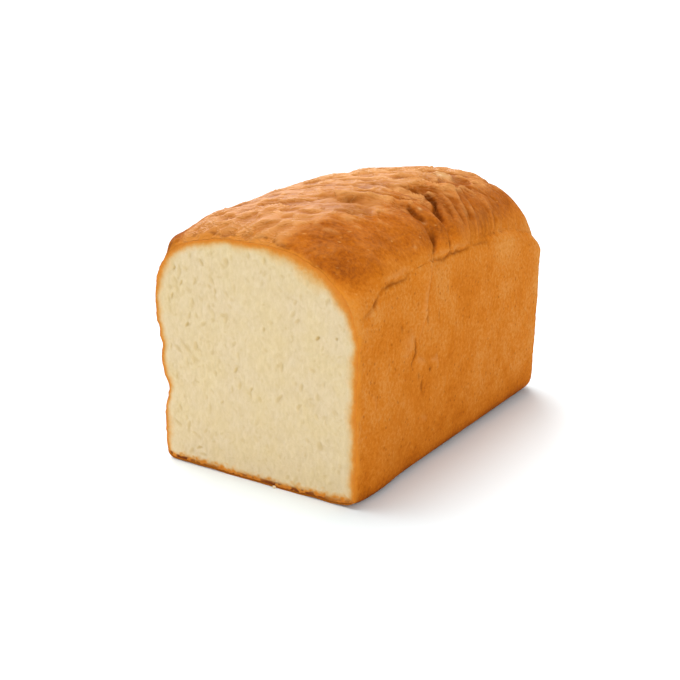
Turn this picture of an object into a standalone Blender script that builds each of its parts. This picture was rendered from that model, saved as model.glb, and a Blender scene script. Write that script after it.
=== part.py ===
"""A white tin loaf with one end cut off square, as one solid.

The loaf lies on its flat base, the cut faces -Y and the middle of its base is the origin.
Its skin is a drum whose rings are stretched, one by one, into the sections of the loaf:
base, tin walls, the seam where the dough rose out of the tin, and the dome above it.
Distances along the loaf are measured from the cut. Side 1 is the right wall, -1 the left.
"""

import bpy
import bmesh
import numpy as np

MM = 0.001

# Sizes of the whole loaf, in metres
LENGTH = 0.1988
BASE_REACH = {1: 0.0561, -1: 0.0540}
CROWN_AT_CUT = 0.1183

# Tin walls: they lean out quickly above the base and slowly after that
WALL_LEAN = 0.0029
WALL_LEAN_POWER = 0.4
BASE_EDGE_RADIUS_CUT = 0.0045
BASE_EDGE_RADIUS_BACK = 0.0100
BASE_END_RADIUS = 0.0060
TIN_CORNER_RADIUS = 0.0115
TIN_CORNER_SHARE = 0.92

# Right wall, bowed out low down: how far, place and half width along it, height where it fades
RIGHT_BOW = 0.0015
RIGHT_BOW_ALONG = (0.022, 0.016)
RIGHT_BOW_HEIGHT = (0.010, 0.060)

# Left wall, swollen above a step at the cut and pinched in below it (depth, height, half width)
LEFT_OUT = 0.0018
LEFT_STEP = 0.0019
LEFT_STEP_HEIGHT = (0.0685, 0.0712)
LEFT_PINCHES = ((0.0034, 0.037, 0.0085), (0.0008, 0.060, 0.0035))
LEFT_CUT_ZONE = (0.010, 0.050)

# Seam: the height where the dough left the tin, low at the cut and at the back corners
SEAM_MIDDLE = 0.1036
SEAM_AT_CUT = {1: 0.0800, -1: 0.0740}
SEAM_FIRST_RISE = (0.55, -0.004, 0.016)
SEAM_SECOND_RISE = (0.45, 0.016, 0.023)
SEAM_LAST_RISE = (0.0030, 0.030, 0.070)
SEAM_END_DROP = 0.0190
SEAM_END_START = 0.094
SEAM_END_POWER = 2.6

# Ledge at the seam: how far the dome stands in from the wall, and how high the step is
LEDGE_FRONT = 0.0009
LEDGE_BACK = 0.0058
LEDGE_GROWTH = (0.090, 0.185)
LEDGE_LEFT_GROWTH = (0.0, 0.015)
LEDGE_HEIGHT = 0.0012
LEDGE_SLOPE = 1.05
LEDGE_BELOW_SEAM = 0.4
LEDGE_ROUNDNESS = 1.6

# Dome: it rises steeply behind the cut, climbs on gently and sinks and rolls over at the back
DOME_FRONT_RISE = 0.0133
DOME_FRONT_RUN = 0.014
DOME_CLIMB = 0.020
DOME_BACK_SINK = 0.0072
DOME_SINK_ZONE = (0.108, 0.180)
DOME_BACK_ROLL = 0.024
DOME_ROLL_POWER = 2.6
DOME_END_FOOT = 0.0015

# Roundness of the dome across and upwards, 2 for an ellipse and more for fuller shoulders
ACROSS_CUT = {1: 2.5, -1: 2.6}
ACROSS_MIDDLE = 2.1
ACROSS_BACK = 2.5
UPWARDS_CUT = {1: 1.85, -1: 3.0}
UPWARDS_MIDDLE = 1.85
FRONT_ZONE = (0.0, 0.034)
BACK_ZONE = (0.120, 0.175)

# Folds of the baked dough: how far each stands out (or in, below zero), its half width, and the
# places it runs through, given as distance from the cut, distance from the middle and height
FOLDS_MM = (
    # Lip of the dome over the left corner of the cut
    (2.6, 6.0, ((4, -48, 111), (9, -50, 110))),
    # Deep valley over the right flank, with the strand in front of it and the crease before that
    (-3.0, 4.2, ((92, 22, 131), (98, 36, 127), (91, 48, 119), (91, 54, 112))),
    (1.3, 4.5, ((79, 38, 126), (84, 50, 118), (83, 57, 107))),
    (-2.0, 3.2, ((73, 37, 126), (74, 48, 119), (76, 54, 113))),
    (-1.6, 3.6, ((74, 53, 115), (70, 57, 107))),
    # Swollen edge of the front lobe
    (1.4, 9.0, ((64, 49, 117), (58, 56, 106))),
    # Ridges and hollows across the top
    (0.9, 4.0, ((54, 1, 133), (61, 12, 133), (68, 22, 131))),
    (-1.0, 4.5, ((52, 17, 132), (60, 24, 131))),
    (-1.1, 3.2, ((60, 26, 130), (61, 36, 127))),
    (0.9, 4.2, ((21, 27, 127), (33, 26, 129), (46, 25, 130))),
    (0.9, 3.4, ((111, 33, 129), (139, 34, 125))),
    (-1.2, 5.0, ((126, 25, 129), (144, 25, 127))),
    # Left flank, a shallower valley and swelling
    (-1.8, 5.0, ((118, -18, 131), (110, -36, 127), (113, -52, 114))),
    (1.0, 8.0, ((96, -44, 122), (92, -55, 108))),
    (-1.0, 5.0, ((48, -30, 129), (44, -48, 118))),
)
FOLD_START = (-0.002, 0.004)

# Slow swell of the crust: two waves that bend each other, weaker on the walls
SWELL = 0.00015
SWELL_PITCH = 0.030
SWELL_BEND = (1.3, 0.7)
SWELL_CROSS = (0.8, -0.5, 0.6)
SWELL_ON_WALLS = 0.35
SWELL_HEIGHT = (0.090, 0.115)

# Mesh: points in a ring, from the middle of the base round, and steps between the rings
BASE_POINTS = 3
CORNER_POINTS = 3
WALL_POINTS = 9
LEDGE_POINTS = 3
DOME_POINTS = 47
CURVE_POINTS = 361
STEP_MIDDLE = 0.0036
STEP_AT_ENDS = 0.0012
STEP_AT_FOLDS = 0.0027
END_ZONE = 0.020
FOLD_ZONE = (0.066, 0.102)
SMOOTH_ANGLE = 50.0

CRUST = (0.60, 0.235, 0.055, 1.0)
CRUST_ROUGHNESS = 0.62


def smooth_step(low, high, value):
    share = np.clip((value - low) / (high - low), 0.0, 1.0)
    return share * share * (3.0 - 2.0 * share)


def bell(value, middle, width):
    return np.exp(-((value - middle) / width) ** 2)


def seam_height(along, side):
    """Height of the seam on one wall."""
    front = SEAM_AT_CUT[side]
    first, first_from, first_to = SEAM_FIRST_RISE
    second, second_from, second_to = SEAM_SECOND_RISE
    last, last_from, last_to = SEAM_LAST_RISE
    rise = first * smooth_step(first_from, first_to, along) + second * smooth_step(second_from, second_to, along)
    level = front + (SEAM_MIDDLE - last - front) * rise + last * smooth_step(last_from, last_to, along)
    back = np.clip((along - SEAM_END_START) / (LENGTH - SEAM_END_START), 0.0, 1.0)
    return level - SEAM_END_DROP * back ** SEAM_END_POWER


def corner_inset(from_end, radius):
    """How far a rounded upright corner of the plan stands in from the straight wall."""
    short = np.clip(radius - from_end, 0.0, radius)
    return radius - np.sqrt(radius ** 2 - short ** 2)


def left_wall_form(height, along):
    """How far the left wall stands out beyond a plain one."""
    near_cut = 1.0 - smooth_step(*LEFT_CUT_ZONE, along)
    at_cut = LEFT_STEP * smooth_step(*LEFT_STEP_HEIGHT, height)
    for depth, middle, width in LEFT_PINCHES:
        at_cut = at_cut - depth * bell(height, middle, width)
    return near_cut * at_cut + (1.0 - near_cut) * LEFT_OUT


def right_wall_form(height, along):
    """How far the right wall stands out beyond a plain one."""
    return RIGHT_BOW * bell(along, *RIGHT_BOW_ALONG) * (1.0 - smooth_step(*RIGHT_BOW_HEIGHT, height))


def wall_reach(height, along, side):
    """Distance of a tin wall from the middle plane."""
    reach = BASE_REACH[side] + WALL_LEAN * (np.maximum(height, 0.0) / SEAM_MIDDLE) ** WALL_LEAN_POWER
    reach = reach + (right_wall_form(height, along) if side > 0 else left_wall_form(height, along))
    return reach - corner_inset(LENGTH - along, TIN_CORNER_RADIUS) * TIN_CORNER_SHARE


def crown_height(along):
    """Height of the dome along its crown, rising from the cut and sinking at the back."""
    rise = DOME_FRONT_RISE * (1.0 - np.exp(-along / DOME_FRONT_RUN)) + DOME_CLIMB * along
    return CROWN_AT_CUT + rise - DOME_BACK_SINK * smooth_step(*DOME_SINK_ZONE, along)


def back_roll(along):
    """1 along the dome, falling to 0 at its rounded foot behind."""
    foot = LENGTH - LEDGE_BACK
    short = np.clip((along - (foot - DOME_BACK_ROLL)) / DOME_BACK_ROLL, 0.0, 1.0)
    return np.sqrt(1.0 - short ** DOME_ROLL_POWER)


def ledge_width(along, side):
    """Width of the ledge, which starts from nothing at the left corner of the cut."""
    front = LEDGE_FRONT * (smooth_step(*LEDGE_LEFT_GROWTH, along) if side < 0 else 1.0)
    return front + (LEDGE_BACK - front) * smooth_step(*LEDGE_GROWTH, along)


def even_points(curve, count):
    """The same curve with its points at even distances."""
    steps = np.hypot(*np.diff(curve, axis=0).T)
    run = np.concatenate([[0.0], np.cumsum(steps)])
    marks = np.linspace(0.0, run[-1], count)
    return np.stack([np.interp(marks, run, curve[:, i]) for i in (0, 1)], axis=1)


def dome_curve(along, foot_x, foot_z):
    """Dome outline from its right foot over the crown to its left foot."""
    angle = np.linspace(0.0, np.pi, CURVE_POINTS)
    past_front = smooth_step(*FRONT_ZONE, along)
    right = angle <= np.pi / 2
    across_power = np.where(right, ACROSS_CUT[1], ACROSS_CUT[-1])
    across_power = across_power + (ACROSS_MIDDLE - across_power) * past_front
    across_power = across_power + (ACROSS_BACK - ACROSS_MIDDLE) * smooth_step(*BACK_ZONE, along)
    upwards_power = np.where(right, UPWARDS_CUT[1], UPWARDS_CUT[-1])
    upwards_power = upwards_power + (UPWARDS_MIDDLE - upwards_power) * past_front
    reach = np.where(right, foot_x[1], foot_x[-1])
    across = np.cos(angle)
    x = reach * np.sign(across) * np.abs(across) ** (2.0 / across_power)
    share = 0.5 * (1.0 + np.clip(x / foot_x[1], -1.0, 1.0))
    foot = foot_z[-1] + (foot_z[1] - foot_z[-1]) * share
    roll = back_roll(along)
    top = foot + (crown_height(along) - foot) * roll + DOME_END_FOOT * (1.0 - roll)
    z = foot + (top - foot) * np.sin(angle) ** (2.0 / upwards_power)
    return np.stack([x, z], axis=1)


def side_curve(along, side):
    """Half of the base, the base edge, the tin wall and the ledge of one side."""
    radius = BASE_EDGE_RADIUS_CUT + (BASE_EDGE_RADIUS_BACK - BASE_EDGE_RADIUS_CUT) * along / LENGTH
    foot = wall_reach(radius, along, side) - radius
    lift = corner_inset(LENGTH - along, BASE_END_RADIUS)
    base = np.stack([np.linspace(0.0, foot, BASE_POINTS + 1), np.full(BASE_POINTS + 1, lift)], axis=1)
    turn = np.radians(np.linspace(0.0, 90.0, CORNER_POINTS + 2)[1:-1])
    height = radius - (radius - lift) * np.cos(turn)
    corner = np.stack([foot + radius * np.sin(turn), height], axis=1)
    ledge = ledge_width(along, side)
    rise = LEDGE_HEIGHT + LEDGE_SLOPE * ledge
    top = seam_height(along, side) - LEDGE_BELOW_SEAM * rise
    heights = np.linspace(radius, top, WALL_POINTS)
    wall = np.stack([wall_reach(heights, along, side), heights], axis=1)
    share = np.linspace(0.0, 1.0, LEDGE_POINTS + 1)[1:]
    shelf_x = wall[-1, 0] - ledge * share ** LEDGE_ROUNDNESS
    shelf = np.stack([shelf_x, top + rise * share], axis=1)
    return np.concatenate([base, corner, wall, shelf])


def outward(ring):
    """Unit directions straight out of a ring, which runs round by the right wall."""
    forward = np.roll(ring, -1, axis=0) - np.roll(ring, 1, axis=0)
    normal = np.stack([forward[:, 1], -forward[:, 0]], axis=1)
    return normal / np.linalg.norm(normal, axis=1, keepdims=True)


def above_base(ring):
    """0 on the flat base and its edges, 1 from a little way up."""
    return smooth_step(BASE_EDGE_RADIUS_BACK, 3.0 * BASE_EDGE_RADIUS_BACK, ring[:, 1])


def distance_to_run(places, run):
    """Distance of each place from a line through the points of a fold."""
    nearest = np.full(len(places), np.inf)
    for start, end in zip(run[:-1], run[1:]):
        way = end - start
        share = np.clip((places - start) @ way / (way @ way), 0.0, 1.0)
        gap = np.linalg.norm(places - start - share[:, None] * way, axis=1)
        nearest = np.minimum(nearest, gap)
    return nearest


def swell(places):
    """Slow waves of the crust over the places given."""
    turn = places * (2.0 * np.pi / SWELL_PITCH)
    bend, bend_pitch = SWELL_BEND
    across, upwards, lengthwise = SWELL_CROSS
    waves = np.sin(turn[:, 0] + bend * np.sin(bend_pitch * turn[:, 1]))
    waves = waves + np.sin(across * turn[:, 1] + upwards * turn[:, 2] + np.sin(lengthwise * turn[:, 0]))
    return SWELL * waves * (SWELL_ON_WALLS + (1.0 - SWELL_ON_WALLS) * smooth_step(*SWELL_HEIGHT, places[:, 2]))


def fold_lift(ring, along):
    """How far the folds and the slow swell of the crust stand out at each point of a ring."""
    places = np.stack([np.full(len(ring), along), ring[:, 0], ring[:, 1]], axis=1)
    lift = swell(places)
    for height, width, run in FOLDS_MM:
        gap = distance_to_run(places, np.array(run) * MM)
        lift = lift + height * MM * bell(gap, 0.0, width * MM)
    return lift * smooth_step(*FOLD_START, along)


def section(along):
    """Ring of points round the loaf at one distance from the cut, seen from the cut."""
    right = side_curve(along, 1)
    left = side_curve(along, -1)
    foot_x = {1: right[-1, 0], -1: left[-1, 0]}
    foot_z = {1: right[-1, 1], -1: left[-1, 1]}
    dome = even_points(dome_curve(along, foot_x, foot_z), DOME_POINTS + 2)[1:-1]
    left = left * (-1.0, 1.0)
    ring = np.concatenate([right, dome, left[:0:-1]])
    return ring + outward(ring) * (fold_lift(ring, along) * above_base(ring))[:, None]


def stations():
    """Distances of the rings from the cut, closer together at both ends."""
    marks = [0.0]
    while marks[-1] < LENGTH:
        near = min(marks[-1], LENGTH - marks[-1])
        wide = STEP_AT_FOLDS if FOLD_ZONE[0] < marks[-1] < FOLD_ZONE[1] else STEP_MIDDLE
        marks.append(marks[-1] + STEP_AT_ENDS
                     + (wide - STEP_AT_ENDS) * float(smooth_step(0.0, END_ZONE, near)))
    return np.array(marks) * (LENGTH / marks[-1])


def clear_scene():
    for item in list(bpy.data.objects):
        bpy.data.objects.remove(item, do_unlink=True)


def crust_material():
    crust = bpy.data.materials.new("baked_crust")
    crust.use_nodes = True
    shader = crust.node_tree.nodes["Principled BSDF"]
    shader.inputs["Base Color"].default_value = CRUST
    shader.inputs["Roughness"].default_value = CRUST_ROUGHNESS
    shader.inputs["Metallic"].default_value = 0.0
    return crust


def stretched_drum(name):
    """A drum along Y, one ring for each station, with every ring stretched into its section."""
    marks = stations()
    rings = [section(along) for along in marks]
    count = len(rings[0])
    bpy.ops.mesh.primitive_cylinder_add(vertices=count, radius=1.0, depth=1.0, end_fill_type="NGON")
    drum = bpy.context.object
    drum.name = name
    drum.data.name = name
    mesh = bmesh.new()
    mesh.from_mesh(drum.data)
    lengthwise = [edge for edge in mesh.edges if abs(edge.verts[0].co.z - edge.verts[1].co.z) > 0.5]
    bmesh.ops.subdivide_edges(mesh, edges=lengthwise, cuts=len(marks) - 2, use_grid_fill=True)
    for vertex in mesh.verts:
        place = vertex.co.copy()
        turn = np.arctan2(place.x, place.y) / (2.0 * np.pi)
        point = int(round(turn * count)) % count
        station = int(round((place.z + 0.5) * (len(marks) - 1)))
        x, z = rings[station][point]
        vertex.co = (x, marks[station] - LENGTH / 2, z)
    bmesh.ops.recalc_face_normals(mesh, faces=mesh.faces)
    mesh.to_mesh(drum.data)
    mesh.free()
    return drum


def main():
    clear_scene()
    collection = bpy.data.collections.new("tin_loaf")
    bpy.context.scene.collection.children.link(collection)
    loaf = stretched_drum("loaf")
    for holder in list(loaf.users_collection):
        holder.objects.unlink(loaf)
    collection.objects.link(loaf)
    loaf.data.materials.append(crust_material())
    loaf.data.shade_smooth()
    loaf.data.set_sharp_from_angle(angle=np.radians(SMOOTH_ANGLE))


main()
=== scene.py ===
import bpy
import numpy as np
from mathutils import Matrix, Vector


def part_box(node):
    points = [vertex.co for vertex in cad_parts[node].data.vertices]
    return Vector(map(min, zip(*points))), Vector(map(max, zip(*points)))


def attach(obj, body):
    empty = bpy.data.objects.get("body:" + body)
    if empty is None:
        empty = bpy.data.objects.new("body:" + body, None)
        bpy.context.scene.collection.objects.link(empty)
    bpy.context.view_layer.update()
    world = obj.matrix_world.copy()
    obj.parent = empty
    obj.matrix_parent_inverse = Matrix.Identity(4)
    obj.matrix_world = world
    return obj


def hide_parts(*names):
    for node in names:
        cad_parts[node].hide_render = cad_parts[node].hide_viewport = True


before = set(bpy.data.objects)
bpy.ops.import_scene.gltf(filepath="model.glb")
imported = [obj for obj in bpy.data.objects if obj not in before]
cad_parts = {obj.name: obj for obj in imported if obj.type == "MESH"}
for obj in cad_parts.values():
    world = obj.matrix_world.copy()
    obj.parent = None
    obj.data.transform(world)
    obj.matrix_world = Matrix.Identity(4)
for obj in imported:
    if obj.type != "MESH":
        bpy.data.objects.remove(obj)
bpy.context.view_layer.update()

# The crust is the baked skin of the whole loaf: base, tin walls, the seam where the dough left the
# tin and the dome that rose above it. It is the dough itself, dried and browned by the oven, so it
# is one closed skin with its wrinkles, folds and pits, open only where the knife took the end off.
MM = 0.001
loaf_low, loaf_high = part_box("loaf")
LENGTH = (loaf_high.y - loaf_low.y) / MM
BASE_REACH = {1: 56.1, -1: 54.0}
CROWN_AT_CUT = 118.3

# Tin walls, side 1 on the right of the cut and -1 on the left
WALL_LEAN = 2.9
WALL_LEAN_POWER = 0.4
BASE_EDGE_CUT = 4.5
BASE_EDGE_BACK = 10.0
BASE_END = 6.0
TIN_CORNER = 11.5
TIN_CORNER_SHARE = 0.92
RIGHT_BOW = 1.5
RIGHT_BOW_ALONG = (22.0, 16.0)
RIGHT_BOW_HEIGHT = (10.0, 60.0)
LEFT_OUT = 1.8
LEFT_STEP = 1.9
LEFT_STEP_HEIGHT = (68.5, 71.2)
LEFT_PINCHES = ((3.4, 37.0, 8.5), (0.8, 60.0, 3.5))
LEFT_CUT_ZONE = (10.0, 50.0)

# Seam and the ledge at it
SEAM_MIDDLE = 103.6
SEAM_AT_CUT = {1: 80.0, -1: 74.0}
SEAM_FIRST_RISE = (0.55, -4.0, 16.0)
SEAM_SECOND_RISE = (0.45, 16.0, 23.0)
SEAM_LAST_RISE = (3.0, 30.0, 70.0)
SEAM_END_DROP = 19.0
SEAM_END_START = 94.0
SEAM_END_POWER = 2.6
LEDGE_FRONT = 0.9
LEDGE_BACK = 5.8
LEDGE_GROWTH = (90.0, 185.0)
LEDGE_LEFT_GROWTH = (0.0, 15.0)
LEDGE_HEIGHT = 1.2
LEDGE_SLOPE = 1.05
LEDGE_BELOW_SEAM = 0.4
LEDGE_ROUNDNESS = 1.6

# Dome, and its roundness across and upwards, 2 for an ellipse and more for fuller shoulders
DOME_RISE = 13.3
DOME_RUN = 14.0
DOME_CLIMB = 0.020
DOME_SINK = 7.2
DOME_SINK_ZONE = (108.0, 180.0)
DOME_ROLL = 24.0
DOME_ROLL_POWER = 2.6
DOME_END_FOOT = 1.5
ACROSS_CUT = {1: 2.5, -1: 2.6}
ACROSS_MIDDLE = 2.1
ACROSS_BACK = 2.5
UPWARDS_CUT = {1: 1.85, -1: 3.0}
UPWARDS_MIDDLE = 1.85
FRONT_ZONE = (0.0, 34.0)
BACK_ZONE = (120.0, 175.0)


def ease(low, high, value):
    share = np.clip((value - low) / (high - low), 0.0, 1.0)
    return share * share * (3.0 - 2.0 * share)


def hump(value, middle, half_width):
    return np.exp(-((value - middle) / half_width) ** 2)


def seam_level(along, side):
    """Height where the dough rose out of the tin, low at the cut and at the baked end."""
    front = SEAM_AT_CUT[side]
    first, first_from, first_to = SEAM_FIRST_RISE
    second, second_from, second_to = SEAM_SECOND_RISE
    last, last_from, last_to = SEAM_LAST_RISE
    rise = first * ease(first_from, first_to, along) + second * ease(second_from, second_to, along)
    level = front + (SEAM_MIDDLE - last - front) * rise + last * ease(last_from, last_to, along)
    back = np.clip((along - SEAM_END_START) / (LENGTH - SEAM_END_START), 0.0, 1.0)
    return level - SEAM_END_DROP * back ** SEAM_END_POWER


def rounded_off(from_end, radius):
    short = np.clip(radius - from_end, 0.0, radius)
    return radius - np.sqrt(radius ** 2 - short ** 2)


def wall_stand(height, along, side):
    """Distance of a tin wall from the loaf's middle plane."""
    stand = BASE_REACH[side] + WALL_LEAN * (np.maximum(height, 0.0) / SEAM_MIDDLE) ** WALL_LEAN_POWER
    if side > 0:
        stand = stand + RIGHT_BOW * hump(along, *RIGHT_BOW_ALONG) * (1.0 - ease(*RIGHT_BOW_HEIGHT, height))
    else:
        near_cut = 1.0 - ease(*LEFT_CUT_ZONE, along)
        at_cut = LEFT_STEP * ease(*LEFT_STEP_HEIGHT, height)
        for depth, middle, width in LEFT_PINCHES:
            at_cut = at_cut - depth * hump(height, middle, width)
        stand = stand + near_cut * at_cut + (1.0 - near_cut) * LEFT_OUT
    return stand - TIN_CORNER_SHARE * rounded_off(LENGTH - along, TIN_CORNER)


def crown_level(along):
    rise = DOME_RISE * (1.0 - np.exp(-along / DOME_RUN)) + DOME_CLIMB * along
    return CROWN_AT_CUT + rise - DOME_SINK * ease(*DOME_SINK_ZONE, along)


def end_roll(along):
    """1 along the dome, falling to 0 at its rounded foot over the baked end."""
    foot = LENGTH - LEDGE_BACK
    short = np.clip((along - (foot - DOME_ROLL)) / DOME_ROLL, 0.0, 1.0)
    return np.sqrt(1.0 - short ** DOME_ROLL_POWER)


def ledge_width(along, side):
    front = LEDGE_FRONT * (ease(*LEDGE_LEFT_GROWTH, along) if side < 0 else 1.0)
    return front + (LEDGE_BACK - front) * ease(*LEDGE_GROWTH, along)


def spaced(curve, count):
    """The same curve with its points at even distances."""
    run = np.concatenate([[0.0], np.cumsum(np.hypot(*np.diff(curve, axis=0).T))])
    marks = np.linspace(0.0, run[-1], count)
    return np.stack([np.interp(marks, run, curve[:, axis]) for axis in (0, 1)], axis=1)


BASE_POINTS = 6
EDGE_POINTS = 7
WALL_POINTS = {1: 98, -1: 40}
LEDGE_POINTS = 8
DOME_POINTS = 196
CURVE_POINTS = 721


def flank(along, side):
    """Half of the base, its edge, the tin wall and the ledge at the seam, on one side."""
    radius = BASE_EDGE_CUT + (BASE_EDGE_BACK - BASE_EDGE_CUT) * along / LENGTH
    foot = wall_stand(radius, along, side) - radius
    lift = rounded_off(LENGTH - along, BASE_END)
    base = np.stack([np.linspace(0.0, foot, BASE_POINTS + 1), np.full(BASE_POINTS + 1, lift)], axis=1)
    turn = np.radians(np.linspace(0.0, 90.0, EDGE_POINTS + 2)[1:-1])
    edge = np.stack([foot + radius * np.sin(turn), radius - (radius - lift) * np.cos(turn)], axis=1)
    ledge = ledge_width(along, side)
    rise = LEDGE_HEIGHT + LEDGE_SLOPE * ledge
    top = seam_level(along, side) - LEDGE_BELOW_SEAM * rise
    heights = np.linspace(radius, top, WALL_POINTS[side])
    wall = np.stack([wall_stand(heights, along, side), heights], axis=1)
    share = np.linspace(0.0, 1.0, LEDGE_POINTS + 1)[1:]
    step = np.stack([wall[-1, 0] - ledge * share ** LEDGE_ROUNDNESS, top + rise * share], axis=1)
    return np.concatenate([base, edge, wall, step])


def dome(along, foot_x, foot_z):
    """Outline of the dome from its right foot over the crown to its left foot."""
    angle = np.linspace(0.0, np.pi, CURVE_POINTS)
    past_front = ease(*FRONT_ZONE, along)
    right = angle <= np.pi / 2
    across = np.where(right, ACROSS_CUT[1], ACROSS_CUT[-1])
    across = across + (ACROSS_MIDDLE - across) * past_front
    across = across + (ACROSS_BACK - ACROSS_MIDDLE) * ease(*BACK_ZONE, along)
    upwards = np.where(right, UPWARDS_CUT[1], UPWARDS_CUT[-1])
    upwards = upwards + (UPWARDS_MIDDLE - upwards) * past_front
    reach = np.where(right, foot_x[1], foot_x[-1])
    x = reach * np.sign(np.cos(angle)) * np.abs(np.cos(angle)) ** (2.0 / across)
    share = 0.5 * (1.0 + np.clip(x / foot_x[1], -1.0, 1.0))
    foot = foot_z[-1] + (foot_z[1] - foot_z[-1]) * share
    roll = end_roll(along)
    top = foot + (crown_level(along) - foot) * roll + DOME_END_FOOT * (1.0 - roll)
    z = foot + (top - foot) * np.sin(angle) ** (2.0 / upwards)
    return spaced(np.stack([x, z], axis=1), DOME_POINTS + 2)[1:-1]


def loaf_ring(along):
    """Points round the loaf at one distance from the cut, from the middle of the base by the right wall."""
    right = flank(along, 1)
    left = flank(along, -1)
    over = dome(along, {1: right[-1, 0], -1: left[-1, 0]}, {1: right[-1, 1], -1: left[-1, 1]})
    return np.concatenate([right, over, (left * (-1.0, 1.0))[:0:-1]])


# Distances from the cut of the rings that the skin is woven from, closer together at both ends
FIRST_STATIONS = (0.0, 0.18, 0.5, 1.0)
STATION_STEP = 0.80
END_STEP = 0.35
END_STEP_GROWTH = 0.06
station_marks = list(FIRST_STATIONS)
while station_marks[-1] < LENGTH:
    room = LENGTH - station_marks[-1]
    station_marks.append(station_marks[-1] + min(STATION_STEP, END_STEP + END_STEP_GROWTH * room))
station_marks = np.array(station_marks) * (LENGTH / station_marks[-1])
skin = np.stack([
    np.column_stack([ring[:, 0], np.full(len(ring), along), ring[:, 1]])
    for along in station_marks for ring in [loaf_ring(along)]])
RING = skin.shape[1]
SEAM_INDEX = BASE_POINTS + EDGE_POINTS + WALL_POINTS[1] + LEDGE_POINTS
LEFT_SEAM_INDEX = RING - BASE_POINTS - EDGE_POINTS - WALL_POINTS[-1] - LEDGE_POINTS


def skin_normals(points):
    """Directions straight out of the skin, from its neighbours along and round the loaf."""
    round_way = np.roll(points, -1, axis=1) - np.roll(points, 1, axis=1)
    long_way = np.gradient(points, axis=0)
    normal = np.cross(round_way, -long_way)
    return normal / np.maximum(np.linalg.norm(normal, axis=2, keepdims=True), 1e-9)


def lattice_noise(places, pitch, seed):
    """Smooth seeded noise between -1 and 1, with bumps about pitch across."""
    table = np.random.default_rng(seed).uniform(-1.0, 1.0, (32, 32, 32))
    spot = places / np.asarray(pitch, float)
    low = np.floor(spot).astype(int)
    part = spot - low
    part = part * part * part * (part * (part * 6.0 - 15.0) + 10.0)
    total = 0.0
    for corner in np.ndindex(2, 2, 2):
        weight = np.prod(np.where(np.array(corner) == 1, part, 1.0 - part), axis=-1)
        index = (low + corner) % 32
        total = total + weight * table[index[..., 0], index[..., 1], index[..., 2]]
    return total


def beside_run(places, run):
    """Distance of each place from a line through the points of a fold, and how far along it that is."""
    nearest = np.full(places.shape[:-1], np.inf)
    passed = np.zeros(places.shape[:-1])
    for step, (start, end) in enumerate(zip(run[:-1], run[1:])):
        way = end - start
        share = np.clip(((places - start) @ way) / (way @ way), 0.0, 1.0)
        gap = np.linalg.norm(places - start - share[..., None] * way, axis=-1)
        passed = np.where(gap < nearest, (step + share) / (len(run) - 1), passed)
        nearest = np.minimum(nearest, gap)
    return nearest, passed


# Folds of the dough in millimetres: how far each stands out, or in where it is below zero, its half
# width, and the places it runs through as (distance from the cut, distance from the middle, height).
BROAD_FOLDS = (
    (2.6, 6.0, ((4, -48, 111), (9, -50, 110))),
    (-3.0, 4.2, ((92, 22, 131), (98, 36, 127), (91, 48, 119), (91, 54, 112))),
    (1.3, 4.5, ((79, 38, 126), (84, 50, 118), (83, 57, 107))),
    (-2.0, 3.2, ((73, 37, 126), (74, 48, 119), (76, 54, 113))),
    (-1.6, 3.6, ((74, 53, 115), (70, 57, 107))),
    (1.4, 9.0, ((64, 49, 117), (58, 56, 106))),
    (0.9, 4.0, ((54, 1, 133), (61, 12, 133), (68, 22, 131))),
    (-1.0, 4.5, ((52, 17, 132), (60, 24, 131))),
    (-1.1, 3.2, ((60, 26, 130), (61, 36, 127))),
    (0.9, 4.2, ((21, 27, 127), (33, 26, 129), (46, 25, 130))),
    (0.9, 3.4, ((111, 33, 129), (139, 34, 125))),
    (-1.2, 5.0, ((126, 25, 129), (144, 25, 127))),
    (-1.8, 5.0, ((118, -18, 131), (110, -36, 127), (113, -52, 114))),
    (1.0, 8.0, ((96, -44, 122), (92, -55, 108))),
    (-1.0, 5.0, ((48, -30, 129), (44, -48, 118))),
)
FOLD_START = (-2.0, 4.0)
SWELL = 0.15
SWELL_PITCH = 30.0
SWELL_HEIGHT = (90.0, 115.0)


def loaf_places(points):
    """The points as (distance from the cut, distance from the middle, height)."""
    return np.stack([points[..., 1], points[..., 0], points[..., 2]], axis=-1)


places = loaf_places(skin)
turn = places * (2.0 * np.pi / SWELL_PITCH)
broad = np.sin(turn[..., 0] + 1.3 * np.sin(0.7 * turn[..., 1]))
broad += np.sin(0.8 * turn[..., 1] - 0.5 * turn[..., 2] + np.sin(0.6 * turn[..., 0]))
broad *= SWELL * (0.35 + 0.65 * ease(*SWELL_HEIGHT, places[..., 2]))
for height, width, run in BROAD_FOLDS:
    broad += height * hump(beside_run(places, np.array(run, float))[0], 0.0, width)
broad *= ease(*FOLD_START, places[..., 0]) * ease(BASE_EDGE_BACK, 3.0 * BASE_EDGE_BACK, places[..., 2])
skin = skin + skin_normals(skin) * broad[..., None]

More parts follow.
